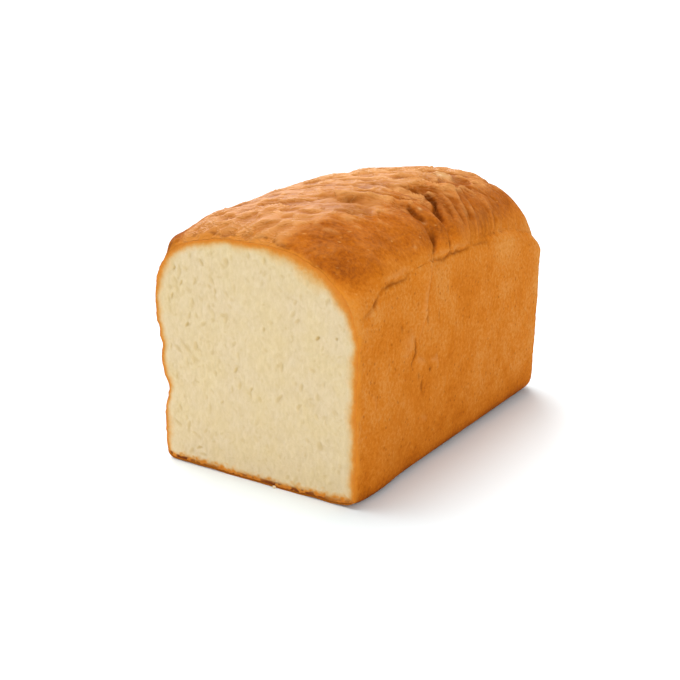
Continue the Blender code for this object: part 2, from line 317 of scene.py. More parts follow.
# Fine creases and ridges, given in the same way as the broad folds
FINE_FOLDS = (
    # Crease in front of the strand, and the valley behind it
    (-2.6, 1.1, ((75, 36, 127), (76, 40, 125), (75, 45, 122), (77, 48, 120))),
    (-1.9, 1.5, ((97, 22, 131), (101, 28, 130), (102, 34, 127), (101, 39, 125), (97, 42, 123), (93, 47, 119),
                 (92, 51, 116))),
    (-2.6, 0.8, ((101, 30, 129), (102, 34, 127), (101, 39, 125), (97, 42, 123), (93, 47, 119),
                 (91, 50, 117))),
    (-2.8, 1.1, ((92, 53, 113), (86, 57, 111), (83, 59, 106))),
    (-2.6, 1.0, ((76, 52, 114), (75, 54, 111), (72, 56, 107))),
    (-1.4, 1.6, ((77, 51, 115), (76, 53, 112), (73, 55, 109), (70, 57, 106))),
    # Pleats down the flank of the rear lobe
    (-1.0, 1.2, ((126, 39, 125), (121, 45, 123), (118, 49, 120))),
    (-1.0, 1.2, ((134, 39, 125), (128, 46, 122), (125, 50, 118))),
    (-1.2, 1.1, ((104, 47, 121), (99, 52, 117))),
    (-1.2, 1.1, ((109, 50, 119), (107, 54, 114), (108, 55, 112))),
    (-1.0, 1.1, ((119, 50, 119), (116, 53, 115))),
    (-1.1, 1.2, ((119, 53, 115), (118, 56, 109), (117, 57, 105))),
    (-0.9, 1.1, ((100, 53, 116), (98, 55, 112))),
    (-0.8, 1.4, ((154, 44, 119), (158, 48, 117))),
    (0.5, 1.5, ((123, 40, 125), (117, 47, 121), (112, 52, 116))),
    (0.4, 1.5, ((130, 42, 124), (123, 49, 120), (119, 54, 114))),
    # Hollow and bright ridge across the rear of the crown
    (-1.0, 1.7, ((128, 26, 129), (128, 31, 128), (132, 34, 128))),
    (0.8, 1.3, ((111, 33, 129), (123, 34, 128), (131, 37, 126), (146, 34, 125))),
    # Ridges and grooves about the peak in the middle
    (-0.9, 1.1, ((64, 23, 130), (65, 28, 128), (65, 34, 127))),
    (-0.6, 1.1, ((68, 34, 127), (69, 38, 126))),
    (0.9, 1.2, ((55, 0, 132), (59, 14, 133), (66, 21, 132), (71, 26, 130), (79, 32, 129))),
    (-0.8, 1.2, ((61, -1, 132), (65, 13, 133), (75, 17, 132))),
    (-1.0, 1.9, ((54, 14, 131), (58, 18, 131), (63, 21, 131))),
    (-0.6, 3.0, ((34, 27, 128), (46, 31, 128), (51, 35, 126), (55, 44, 122))),
    (-0.8, 1.0, ((60, -15, 131), (65, -11, 132))),
    # Bright wrinkles at the front of the crown
    (0.8, 0.9, ((17, 29, 124), (20, 32, 123), (21, 36, 122))),
    (0.8, 0.9, ((22, 27, 126), (23, 30, 125))),
    (0.7, 0.9, ((31, 36, 124), (33, 39, 123))),
    (-0.6, 1.5, ((7, 23, 121), (13, 33, 122), (17, 35, 122))),
    (-0.5, 1.1, ((54, 49, 120), (53, 53, 115))),
    (-0.3, 1.1, ((42, 50, 117), (43, 53, 114))),
    (1.3, 2.3, ((80, 37, 127), (80, 38, 127))),
    # Edge of the sheet of dough that laps over the wall
    (-0.5, 1.2, ((64, 60, 103), (65, 60, 97), (63, 59, 91), (61, 59, 84), (63, 59, 80), (60, 59, 75),
                 (58, 59, 71))),
    (0.8, 1.6, ((61, 60, 104), (62, 60, 97), (60, 59, 91), (58, 59, 84), (60, 59, 80), (57, 59, 75),
                (55, 59, 70))),
    (0.9, 0.9, ((57, 60, 94), (58, 59, 86), (58, 59, 82))),
    # Blisters, crescents and short scratches left by the tin
    (-0.7, 1.0, ((52, 59, 87), (52, 59, 85))),
    (-0.6, 1.2, ((63, 59, 78), (64, 59, 73))),
    (0.8, 5.0, ((41, 59, 70), (48, 58, 67))),
    (-1.2, 1.2, ((42, 59, 68), (43, 59, 67))),
    (-1.3, 1.1, ((51, 58, 69), (52, 58, 62), (49, 58, 56))),
    (-0.9, 1.0, ((38, 59, 79), (39, 59, 75))),
    (1.2, 1.2, ((53, 58, 58), (61, 58, 55))),
    (1.4, 1.1, ((66, 58, 54), (72, 58, 54), (74, 58, 49))),
    (-1.4, 1.2, ((67, 58, 50), (68, 58, 48))),
    (-0.8, 1.0, ((56, 58, 51), (57, 58, 47))),
    (-0.9, 1.0, ((59, 58, 46), (59, 58, 40))),
    (0.6, 1.1, ((58, 58, 27), (65, 58, 24))),
    (-0.6, 1.0, ((82, 58, 90), (83, 58, 84))),
    (-0.5, 1.0, ((100, 58, 70), (101, 58, 62))),
    (-0.5, 1.0, ((74, 58, 82), (75, 58, 70))),
    (0.5, 1.2, ((14, 58, 52), (15, 58, 44))),
    (-0.5, 1.1, ((19, 58, 40), (20, 58, 33))),
    # Seam, deeper at its rear half
    (-0.8, 1.3, ((46, 58, 102), (40, 59, 101), (33, 58, 101), (25, 59, 100), (22, 58, 100), (20, 57, 99),
                 (17, 58, 96))),
    (0.5, 1.4, ((44, 58, 105), (33, 58, 104), (24, 58, 103))),
    (-0.8, 1.4, ((17, 58, 96), (15, 58, 93))),
    (-0.5, 1.4, ((15, 58, 94), (10, 58, 91), (4, 58, 89))),
    (-1.2, 1.3, ((62, 59, 105), (72, 58, 103), (78, 59, 103), (82, 59, 104), (88, 59, 104), (96, 59, 104),
                 (105, 58, 103))),
    (-0.8, 1.3, ((105, 58, 103), (116, 59, 103), (127, 59, 102))),
    (0.5, 1.2, ((70, 58, 106), (80, 58, 106), (92, 58, 106), (104, 57, 105))),
)
DOME_START = (100.0, 112.0)
BASE_CLEAR = (3.0, 14.0)
WANDER = 0.7
WANDER_PITCH = 3.6
WANDER_SEED = 60
WANDER_SHIFT = 50.0
places = loaf_places(skin)
along, across, level = places[..., 0], places[..., 1], places[..., 2]
on_dome = ease(*DOME_START, level)
off_base = ease(*BASE_CLEAR, level)
wander = np.stack([lattice_noise(places + WANDER_SHIFT * axis, WANDER_PITCH, WANDER_SEED + axis)
                   for axis in range(3)], axis=-1)
crease = np.zeros(level.shape)
for height, width, run in FINE_FOLDS:
    gap, passed = beside_run(places + WANDER * wander, np.array(run, float))
    taper = 0.35 + 0.65 * np.sin(np.pi * passed) ** 0.6
    crease += height * taper * hump(gap, 0.0, width * (0.55 + 0.45 * taper))

# Wrinkles of the dried top run slantwise over the crown: thin crests on soft folds, which come and go.
# A bend is given as its swing, pitch and seed, a fold as its pitch along, its pitch across and its seed.
WRINKLE_SLANT = np.radians(56.0)
WRINKLE = 1.7
BROAD_BEND = (3.0, 17.0, 41)
SMALL_BEND = (1.5, 6.0, 42)
SOFT_FOLD = (9.0, 4.4, 11)
SMALL_FOLD = (4.6, 2.3, 12)
FOLD_PATCH = (11.0, 13)
WRINKLE_SPREAD = (0.0, 50.0)
WRINKLE_HALF_AT_CUT = 17.0
WRINKLE_HALF_GAIN = 21.0
WRINKLE_HALF_LEFT = 48.0
WRINKLE_BLEND = 6.0
WRINKLE_HEIGHT = (104.0, 118.0)
REAR_LOBE = (80.0, 110.0)


def swung(places, swing, pitch, seed):
    return swing * lattice_noise(places, pitch, seed)


steps = np.linalg.norm(np.diff(skin, axis=1, prepend=skin[:, :1]), axis=2).cumsum(axis=1)
girth = steps[:, SEAM_INDEX + DOME_POINTS // 2][:, None] - steps
bend = swung(places, *BROAD_BEND) + swung(places, *SMALL_BEND)
long_way = along * np.cos(WRINKLE_SLANT) + girth * np.sin(WRINKLE_SLANT)
short_way = girth * np.cos(WRINKLE_SLANT) - along * np.sin(WRINKLE_SLANT) + bend


def slanted_noise(long_pitch, short_pitch, seed):
    spot = np.stack([long_way / long_pitch, short_way / short_pitch, np.full(long_way.shape, 0.5)], axis=-1)
    return lattice_noise(spot, 1.0, seed)


soft_fold = slanted_noise(*SOFT_FOLD)
small_fold = slanted_noise(*SMALL_FOLD)
fold_share = 0.30 + 0.70 * ease(-0.35, 0.45, lattice_noise(places, *FOLD_PATCH))
crest = hump(soft_fold, 0.05, 0.15) + 0.45 * hump(small_fold, 0.0, 0.22)
crown_half = WRINKLE_HALF_AT_CUT + WRINKLE_HALF_GAIN * ease(*WRINKLE_SPREAD, along)
crown_edge = np.where(across > 0.0, crown_half, WRINKLE_HALF_LEFT)
off_crown = ease(-WRINKLE_BLEND, WRINKLE_BLEND, np.abs(across) - crown_edge)
wrinkled = ease(*WRINKLE_HEIGHT, level) * (1.0 - 0.80 * off_crown)
crinkle = WRINKLE * wrinkled * (0.55 * soft_fold + 0.30 * small_fold + 0.50 * fold_share * (crest - 0.35))
crinkle *= 1.08 + 0.35 * ease(*REAR_LOBE, along)
fine = crinkle.copy()

# Pleats where the rear lobe stretched down its flank: soft ribs with a narrow groove beside each
PLEAT = 0.75
PLEAT_GROOVE = 0.50
PLEAT_GROOVE_HALF = 0.35
PLEAT_PITCH = 3.3
PLEAT_SLANT = 0.45
PLEAT_CHANGE = 0.09
PLEAT_START = (94.0, 102.0)
PLEAT_END = (132.0, 165.0)
PLEAT_SIDE = (22.0, 34.0)
pleat_places = np.stack([along + PLEAT_SLANT * girth, PLEAT_CHANGE * girth, 0.0 * girth], axis=-1)
pleat = lattice_noise(pleat_places, PLEAT_PITCH, 21)
pleat_share = ease(*PLEAT_START, along) * (1.0 - ease(*PLEAT_END, along)) * on_dome
pleat_share = pleat_share * ease(*PLEAT_SIDE, np.abs(across))
groove = hump(pleat, 0.0, PLEAT_GROOVE_HALF)
fine += pleat_share * (PLEAT * pleat - PLEAT_GROOVE * groove)

# Upright streaks, grain, shallow blisters and small pits that the tin leaves on the walls, each given
# as its height, pitch and seed
STREAK = (0.05, 2.0, 31)
STREAK_DRAW = 0.16
GRAIN = (0.19, 2.2, 32)
BLISTER = (0.24, 8.0, 34)
PIT_DEPTH = 0.24
PIT_NOISE = (2.8, 33)
PIT_CHANCE = (0.70, 0.95)
drawn_places = np.stack([along, across, STREAK_DRAW * level], axis=-1)
wall_share = (1.0 - on_dome) * off_base
fine += wall_share * (swung(drawn_places, *STREAK) + swung(places, *GRAIN) + swung(places, *BLISTER))
fine -= PIT_DEPTH * wall_share * ease(*PIT_CHANCE, lattice_noise(places, *PIT_NOISE))

# Lumps of torn dough along the rear of the seam, and the sheet of dough that laps over the wall
LUMP = 0.60
LUMP_SIZE = (5.0, 5.0, 4.0)
LUMP_OVER_SEAM = (3.0, 5.0)
LUMP_START = (112.0, 130.0)
LAP = 0.6
LAP_LEVELS = (30.0, 73.0, 80.0, 91.0, 105.0)
LAP_ENDS = (50.0, 56.0, 60.5, 61.0, 62.0)
LAP_HEIGHT = (52.0, 74.0)
lump = lattice_noise(places, LUMP_SIZE, 35)
fine += LUMP * lump * hump(level - seam_level(along, 1), *LUMP_OVER_SEAM) * ease(*LUMP_START, along)
past_lap = along - np.interp(level, LAP_LEVELS, LAP_ENDS)
lap = LAP * (1.0 - ease(-0.6, 1.0, past_lap)) * ease(-26.0, -2.0, past_lap)
fine += lap * np.where(across > 0, ease(*LAP_HEIGHT, level), 0.0) * (1.0 - on_dome)

# The seam on the side away from the camera, plainer
LEFT_SEAM = 0.7
LEFT_SEAM_HALF = 1.1
LEFT_SEAM_START = (4.0, 12.0)
gap = np.linalg.norm(places - places[:, LEFT_SEAM_INDEX][:, None], axis=-1)
fine -= LEFT_SEAM * ease(*LEFT_SEAM_START, along) * hump(gap, 0.0, LEFT_SEAM_HALF)

# All fine relief fades out at the base and at both ends
CUT_FADE = (-0.5, 2.5)
END_FADE = 1.0
shown = off_base * ease(*CUT_FADE, along) * (1.0 - ease(LENGTH - END_FADE, LENGTH, along))
fine = (fine + crease) * shown

# The knife dragged the crust's edge a little in and out, and the baked base curls up in places there
BROAD_DRAG = (0.45, 6.5, 36)
SMALL_DRAG = (0.38, 2.2, 37)
DRAG_REACH = 3.5
DRAG_HEIGHT = (2.0, 8.0)
CURL = 0.6
CURL_NOISE = (9.0, 38)
CURL_CORNER = 1.0
CURL_CORNER_PLACE = (56.0, 6.0)
CURL_REACH = 5.0
CURL_HEIGHT = (0.5, 4.0)
ragged = swung(places, *BROAD_DRAG) + swung(places, *SMALL_DRAG)
ragged = ragged * hump(along, 0.0, DRAG_REACH) * ease(*DRAG_HEIGHT, level)
curl = CURL * ease(-0.5, 0.8, lattice_noise(places, *CURL_NOISE))
curl = curl + CURL_CORNER * hump(across, *CURL_CORNER_PLACE)
curl = curl * hump(along, 0.0, CURL_REACH) * (1.0 - ease(*CURL_HEIGHT, level))
skin = skin + skin_normals(skin) * (fine + ragged)[..., None]
skin[..., 2] = np.maximum(skin[..., 2] + curl, 0.0)


def ring_inset(ring, depth):
    """A ring in the plane of the cut drawn in by depth, square to its own outline."""
    way = np.roll(ring, -1, axis=0) - np.roll(ring, 1, axis=0)
    out = np.stack([way[:, 1], -way[:, 0]], axis=1)
    out = out / np.maximum(np.linalg.norm(out, axis=1, keepdims=True), 1e-9)
    return ring - out * depth


# The knife's edge: the skin turns in over a rounded lip and ends behind the crumb. Each ring of the
# lip is given as how far it is drawn in and how deep it lies behind the cut.
LIP =((4.0, 2.4), (3.4, 1.8), (0.8, 1.3), (0.35, 0.08))
cut_outline = skin[0][:, (0, 2)].copy()
lip_rings = []
for inset, depth in LIP:
    ring = ring_inset(cut_outline, inset)
    lip_rings.append(np.column_stack([ring[:, 0], np.full(RING, depth), ring[:, 1]]))
crust_points = np.concatenate([np.array(lip_rings), skin[1:]])
LIP_ROWS = len(LIP)


def to_metres(points):
    """Loaf places in millimetres, measured from the cut, as places in the frame."""
    flat = points.reshape(-1, 3) * MM
    flat[:, 1] += loaf_low.y
    return flat


def woven_mesh(name, points, faces, values):
    """A smooth mesh with its points, faces and one number for each point under each name."""
    mesh = bpy.data.meshes.new(name)
    mesh.from_pydata(points.tolist(), [], faces)
    mesh.update()
    mesh.shade_smooth()
    for label, numbers in values.items():
        layer = mesh.attributes.new(label, "FLOAT", "POINT")
        layer.data.foreach_set("value", np.ascontiguousarray(numbers, np.float32).ravel())
    piece = bpy.data.objects.new(name, mesh)
    bpy.context.scene.collection.objects.link(piece)
    return piece


rows = len(crust_points)
crust_faces = []
for row in range(rows - 1):
    for column in range(RING):
        after = (column + 1) % RING
        crust_faces.append((row * RING + column, (row + 1) * RING + column,
                            (row + 1) * RING + after, row * RING + after))
crust_faces.append(tuple(range(RING)))
crust_faces.append(tuple(reversed(range((rows - 1) * RING, rows * RING))))


def with_lip(values):
    """Values of the skin's rings, with none on the lip."""
    return np.concatenate([np.zeros((LIP_ROWS, RING)), values[1:]])


# Browning: 0 where the crust is pale and stretched, 1 where the oven caught it most. First how far the
# tanned crown reaches to each side, and the browner shoulders outside it.
TAN_HALF_AT_CUT = 16.0
TAN_HALF_GAIN = 18.0
TAN_HALF_LOSS = 9.0
TAN_LOSS_ZONE = (60.0, 85.0)
TAN_HALF_LEFT = 41.0
TAN_WANDER = (2.0, 6.0, 54)
TAN_BLEND = 5.0
TAN_HEIGHT = (104.0, 114.0)
FRONT_LOBE = (14.0, 34.0)
SHOULDER_LEVEL = 98.0
SHOULDER_OVER_SEAM = (1.0, 9.0)
places = loaf_places(crust_points)
along, across, level = places[..., 0], places[..., 1], places[..., 2]
over_seam = level - np.where(across > 0, seam_level(along, 1), seam_level(along, -1))
tan_half = TAN_HALF_AT_CUT + TAN_HALF_GAIN * ease(*WRINKLE_SPREAD, along)
tan_half = tan_half - TAN_HALF_LOSS * ease(*TAN_LOSS_ZONE, along)
crown_edge = np.where(across > 0.0, tan_half, TAN_HALF_LEFT) + swung(places, *TAN_WANDER)
off_crown = ease(-TAN_BLEND, TAN_BLEND, np.abs(across) - crown_edge)
past_lobe = ease(*FRONT_LOBE, along)
shoulder = ease(0.0, 1.0, (level - SHOULDER_LEVEL - 4.0 * past_lobe) / (13.0 + 2.0 * past_lobe))
shoulder = off_crown * shoulder * ease(*SHOULDER_OVER_SEAM, over_seam)
crown = (1.0 - off_crown) * ease(*TAN_HEIGHT, level)

# Then the shares of browning: brown where the oven caught the crust, pale where it was shielded, some
# painted shade
PATCHES = (8.0, 52)
SMALL_PATCHES = (2.6, 53)
BROWN_PLAIN = 0.40
BROWN_SHOULDER = 0.38
PALE_BEHIND_LOBE = 0.06
PALE_CORNER = 0.22
PALE_UNDER_SEAM = 0.05
BROWN_LOW = 0.10
BROWN_FOOT = 0.32
BROWN_FOOT_REAR = 0.16
PALE_END = 0.14
PALE_END_ZONE = (LENGTH - 22.0, LENGTH - 4.0)
BROWN_LOBE = 0.14
BROWN_CLOUDS = (0.09, 24.0, 51)
BROWN_PATCHES = 0.08
patchy = lattice_noise(places, *PATCHES)
small_patches = lattice_noise(places, *SMALL_PATCHES)
brown = BROWN_PLAIN + BROWN_SHOULDER * shoulder - PALE_BEHIND_LOBE * shoulder * past_lobe
brown -= PALE_CORNER * hump(along, 0.0, 10.0) * ease(76.0, 86.0, level) * (1.0 - ease(97.0, 104.0, level))
brown -= PALE_UNDER_SEAM * hump(over_seam, -4.0, 7.0) * ease(60.0, 110.0, along)
# Darker low on the walls and at the foot: partly browner bake, partly painted shade near the table
brown_foot = BROWN_FOOT + BROWN_FOOT_REAR * ease(60.0, 120.0, along)
brown += BROWN_LOW * (1.0 - ease(8.0, 30.0, level)) + brown_foot * (1.0 - ease(0.0, 11.0, level))
brown -= PALE_END * ease(*PALE_END_ZONE, along) * (1.0 - shoulder)
brown += BROWN_LOBE * hump(along, 30.0, 12.0) * hump(across, 46.0, 7.0) * shoulder
brown += swung(places, *BROWN_CLOUDS) + BROWN_PATCHES * patchy
# Painted contact shade: the lowest few millimetres of the skin, next to the table, made dark
painted_contact_shade = (1.0 - ease(0.8, 3.4 + 1.2 * patchy, level)) * (0.40 + 0.60 * ease(2.0, 24.0, along))

# Furrows get painted shade and ridges painted highlights; a torn scar follows the knife's edge on top
FURROW_START = 0.20
FURROW_FULL = 1.6
FURROW_FULL_ON_WALL = 0.8
SCAR = 0.80
PLEAT_SHADE = 0.30
GROOVE_SHADE = 0.45
RIDGE_FULL = 0.8
SHEEN = 0.7
relief = with_lip(broad + fine)
on_wall = 1.0 - ease(99.0, 104.0, level)
furrow_full = FURROW_FULL - (FURROW_FULL - FURROW_FULL_ON_WALL) * on_wall
# Painted shade in the broad hollows of the folds and deeper in the creases, with the scar's own dark line
furrow_shade_and_scar = 0.14 * np.clip(-relief / 3.0, 0.0, 1.0)
furrow_shade_and_scar += 0.86 * np.clip((-with_lip(crease) - FURROW_START) / furrow_full, 0.0, 1.0)
scar = hump(along, 1.8 + 0.8 * patchy, 0.9) * ease(-0.4, 0.3, small_patches) * ease(100.0, 110.0, level)
furrow_shade_and_scar = np.maximum(furrow_shade_and_scar, SCAR * scar)
stretched = with_lip(pleat * pleat_share)
furrow_shade_and_scar += PLEAT_SHADE * np.clip(-stretched - 0.10, 0.0, 1.0)
furrow_shade_and_scar += GROOVE_SHADE * with_lip(groove * pleat_share)
# Painted highlights on raised ridges and pleat ribs, and a painted sheen across the rear of the crown
ridge_highlight = np.clip(with_lip(crease + crinkle) / RIDGE_FULL, 0.0, 1.0) * (1.0 - 0.4 * on_wall)
ridge_highlight += 0.5 * np.clip(stretched - 0.20, 0.0, 1.0)
ridge_highlight += SHEEN * crown * hump(along, 105.0, 30.0) * hump(across, -6.0, 14.0)

# Painted shade in the hollows between the wrinkles. Two paler patches and three browner ones on the crown
# are given as distance from the cut, distance from the middle, reach along, reach across, and share.
HOLLOW_FULL = 0.55
PALE_PATCHES = ((55.0, 14.0, 9.0, 16.0, 0.7), (8.0, 2.0, 8.0, 20.0, 0.7))
BROWN_HOLLOWS = ((130.0, 27.0, 9.0, 9.0, 0.70), (40.0, 19.0, 7.5, 7.5, 0.55), (95.0, 24.0, 8.0, 8.0, 0.60))


def crown_patch(middle_along, middle_across, reach_along, reach_across, share):
    return share * hump(along, middle_along, reach_along) * hump(across, middle_across, reach_across)


hollow_shade = np.clip(-with_lip(crinkle) / HOLLOW_FULL, 0.0, 1.0) * (0.6 + 0.4 * ease(20.0, 80.0, along))
for patch in PALE_PATCHES:
    hollow_shade *= 1.0 - crown_patch(*patch)
for patch in BROWN_HOLLOWS:
    hollow_shade = np.maximum(hollow_shade, crown_patch(*patch))

# Painted highlight in a band beside the knife's edge, widest at the right shoulder; gloss and painted glints
# on top
TRIM = 4.4
TRIM_AT_SHOULDER = 2.2
TRIM_SHOULDER = (97.0, 12.0)
TRIM_LEAST = 1.2
GLOSS_OVER_SEAM = (0.0, 14.0)
GLINTS_OVER_SEAM = (4.0, 16.0)
trim = TRIM + TRIM_AT_SHOULDER * hump(level, *TRIM_SHOULDER) * (across > 0.0)
trim = trim + 2.4 * patchy + 3.0 * small_patches
# Painted highlight along the knife's edge, broken where the scar runs
knife = (1.0 - ease(0.1, 1.0, along / np.maximum(trim, TRIM_LEAST))) * (1.0 - scar)
gloss = ease(*GLOSS_OVER_SEAM, over_seam) * (1.0 - 0.75 * off_crown) * (1.0 - np.clip(furrow_shade_and_scar, 0.0, 1.0))
# Painted glints: small bright highlights, few on the walls and most on the dome over the seam
painted_glints = 0.08 + 0.92 * ease(*GLINTS_OVER_SEAM, over_seam)

# Pale dough that shows bare, as (reach, place): spots in and beside the crease, a patch on the crown
BARE_SPOTS = ((1.1, (80, 43, 125)), (6.0, (147, 19, 131)), (1.0, (54, 55, 112)), (1.2, (76, 48, 120)))
bare = np.zeros(level.shape)
for reach, spot in BARE_SPOTS:
    bare = np.maximum(bare, hump(np.linalg.norm(places - spot, axis=-1), 0.0, reach))

painted = {
    "browning": np.clip(brown, 0.0, 1.0), "foot": painted_contact_shade, "furrow_shade_and_scar": np.clip(furrow_shade_and_scar, 0.0, 1.0),
    "bare": bare, "crown": crown, "ridge_highlight": ridge_highlight, "hollow_shade": hollow_shade, "knife_edge_highlight": knife, "gloss": gloss,
    "painted_glints": painted_glints, "wrinkled": with_lip(wrinkled)}
crust = woven_mesh("loaf_crust", to_metres(crust_points), crust_faces, painted)


def shader_of(material):
    """A node-based material's tree, its Principled shader and a maker of further nodes."""
    material.use_nodes = True
    tree = material.node_tree

    def add(kind, **settings):
        node = tree.nodes.new(kind)
        for key, value in settings.items():
            setattr(node, key, value)
        return node

    return tree, tree.nodes["Principled BSDF"], add


def ramp_of(add, stops):
    """A colour ramp with the given (place, colour) stops."""
    ramp = add("ShaderNodeValToRGB")
    points = ramp.color_ramp.elements
    while len(points) < len(stops):
        points.new(0.5)
    for point, (place, colour) in zip(points, stops):
        point.position = place
        point.color = (*colour, 1.0)
    return ramp


def feed(tree, socket, given):
    """Links a socket to another one, or sets it to a plain value."""
    if hasattr(given, "links"):
        tree.links.new(given, socket)
    else:
        socket.default_value = given


def tinted(tree, add, mode, share, under, over):
    """under mixed with over by share; each is a socket or a plain value."""
    mix = add("ShaderNodeMix", data_type="RGBA", blend_type=mode)
    feed(tree, mix.inputs[0], share)
    feed(tree, mix.inputs[6], under)
    feed(tree, mix.inputs[7], over)
    return mix.outputs[2]


def worked(tree, add, operation, first, second):
    """Two numbers, sockets or plain values, put through one sum."""
    node = add("ShaderNodeMath", operation=operation)
    feed(tree, node.inputs[0], first)
    feed(tree, node.inputs[1], second)
    return node.outputs[0]


def swayed(tree, add, noise, swing):
    """A noise about its middle, from minus half the swing to plus half of it."""
    return worked(tree, add, "MULTIPLY", worked(tree, add, "SUBTRACT", noise, 0.5), swing)


def coated(tree, add, under, coats):
    """under with coats of colour laid over it, each given as (mode, share, strength, colour)."""
    for mode, share, strength, colour in coats:
        amount = worked(tree, add, "MULTIPLY", share, strength)
        under = tinted(tree, add, mode, amount, under, (*colour, 1.0))
    return under


def bumped(tree, add, shader, height, strength, distance):
    """Lets a height swing the shader's normals."""
    bump = add("ShaderNodeBump")
    bump.inputs["Strength"].default_value = strength
    bump.inputs["Distance"].default_value = distance
    tree.links.new(height, bump.inputs["Height"])
    tree.links.new(bump.outputs["Normal"], shader.inputs["Normal"])


def mottle(tree, add, where, scale, detail, roughness=0.55, distortion=0.0):
    noise = add("ShaderNodeTexNoise")
    noise.inputs["Scale"].default_value = scale
    noise.inputs["Detail"].default_value = detail
    noise.inputs["Roughness"].default_value = roughness
    noise.inputs["Distortion"].default_value = distortion
    tree.links.new(where, noise.inputs["Vector"])
    return noise.outputs["Fac"]


def spots(tree, add, where, scale, near, far):
    """1 in round spots scattered through the material, 0 between them."""
    cells = add("ShaderNodeTexVoronoi")
    cells.inputs["Scale"].default_value = scale
    tree.links.new(where, cells.inputs["Vector"])
    ramp = ramp_of(add, [(near, (1.0, 1.0, 1.0)), (far, (0.0, 0.0, 0.0))])
    tree.links.new(cells.outputs["Distance"], ramp.inputs["Fac"])
    return ramp.outputs["Color"]


crust_material = bpy.data.materials.new("golden_crust")
tree, shader, add = shader_of(crust_material)
where = add("ShaderNodeTexCoord").outputs["Object"]
given = {name: add("ShaderNodeAttribute", attribute_name=name).outputs["Fac"] for name in painted}
upright = add("ShaderNodeMapping")
upright.inputs["Scale"].default_value = (1.0, 1.0, 0.14)
tree.links.new(where, upright.inputs["Vector"])
blotch = mottle(tree, add, where, 70.0, 3.0)
speckle = mottle(tree, add, where, 560.0, 3.0, 0.70)
streaks = mottle(tree, add, upright.outputs["Vector"], 620.0, 2.0)
uneven = swayed(tree, add, blotch, 0.20)
grainy = swayed(tree, add, speckle, 0.75)
streaky = swayed(tree, add, streaks, 0.07)
bake = worked(tree, add, "ADD", worked(tree, add, "ADD", given["browning"], uneven),
              worked(tree, add, "ADD", grainy, streaky))
bake_ramp = ramp_of(add, [
    (0.00, (0.680, 0.310, 0.080)),
    (0.40, (0.575, 0.174, 0.016)),
    (0.55, (0.515, 0.140, 0.008)),
    (0.75, (0.400, 0.098, 0.005)),
    (1.00, (0.230, 0.050, 0.004))])
tree.links.new(bake, bake_ramp.inputs["Fac"])

# Fine lines and glints lie along the wrinkles, so their pattern is turned and drawn out that way
slanted =add("ShaderNodeMapping")
slanted.inputs["Rotation"].default_value = (0.0, 0.0, WRINKLE_SLANT - np.pi / 2)
tree.links.new(where, slanted.inputs["Vector"])
drawn_out = add("ShaderNodeMapping")
drawn_out.inputs["Scale"].default_value = (0.45, 1.0, 1.0)
tree.links.new(slanted.outputs["Vector"], drawn_out.inputs["Vector"])
wrinkle_lines = mottle(tree, add, drawn_out.outputs["Vector"], 230.0, 2.0, 0.5, 0.8)
wrinkle_sides = worked(tree, add, "ABSOLUTE", worked(tree, add, "SUBTRACT", wrinkle_lines, 0.5), 0.0)
wrinkle_crest = worked(tree, add, "MAXIMUM", 0.0, worked(tree, add, "SUBTRACT", 0.08, wrinkle_sides))
wrinkle_crest = worked(tree, add, "MULTIPLY", wrinkle_crest,
                       worked(tree, add, "MULTIPLY", given["wrinkled"], 12.0))

# Coats over the baked colour, in this order: pores, painted glints, the tanned crown, painted shade in the
# hollows between its wrinkles and in furrows, painted highlights on ridges, a painted highlight at the
# knife's edge, bare dough and painted contact shade at the foot
# Painted highlights on the ridges and on the thin crests of the wrinkles
highlight_share = worked(tree, add, "ADD", worked(tree, add, "MULTIPLY", given["ridge_highlight"], 0.58),
                   worked(tree, add, "MULTIPLY", wrinkle_crest, 0.34))
crust_colour = coated(tree, add, bake_ramp.outputs["Color"], (
    ("MIX", spots(tree, add, where, 240.0, 0.07, 0.22), blotch, (0.290, 0.064, 0.005)),
    # Painted glints, short bright highlights drawn out along the wrinkles
    ("MIX", spots(tree, add, drawn_out.outputs["Vector"], 260.0, 0.05, 0.16),
     worked(tree, add, "MULTIPLY", speckle, given["painted_glints"]), (0.700, 0.330, 0.090)),
    ("MIX", given["crown"], 0.75, (0.475, 0.166, 0.029)),
    ("MIX", given["hollow_shade"], 0.80, (0.300, 0.076, 0.006)),
    ("MIX", given["furrow_shade_and_scar"], 0.92, (0.195, 0.042, 0.003)),
    ("MIX", highlight_share, 1.0, (0.690, 0.305, 0.092)),
    ("MIX", given["knife_edge_highlight"], worked(tree, add, "ADD", blotch, 0.15), (0.680, 0.232, 0.024)),
    ("MIX", given["bare"], 0.62, (0.700, 0.430, 0.180)),
    # Painted contact shade along the foot, where the loaf meets the table
    ("MIX", given["foot"], 0.90, (0.135, 0.026, 0.003))))
tree.links.new(crust_colour, shader.inputs["Base Color"])
matt = worked(tree, add, "SUBTRACT", 0.76, worked(tree, add, "MULTIPLY", given["gloss"], 0.32))
roughness = worked(tree, add, "ADD", worked(tree, add, "MULTIPLY", blotch, 0.16), matt)
tree.links.new(roughness, shader.inputs["Roughness"])
mirroring = worked(tree, add, "ADD", worked(tree, add, "MULTIPLY", given["gloss"], 0.17), 0.03)
tree.links.new(mirroring, shader.inputs["Specular IOR Level"])
shader.inputs["Specular Tint"].default_value = (1.0, 0.72, 0.45, 1.0)
skin_grain = worked(tree, add, "ADD", speckle, worked(tree, add, "MULTIPLY", streaks, 0.2))
bumped(tree, add, shader, worked(tree, add, "ADD", skin_grain, wrinkle_crest), 0.60, 0.0006)
crust.data.materials.append(crust_material)
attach(crust, "root")
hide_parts("loaf")

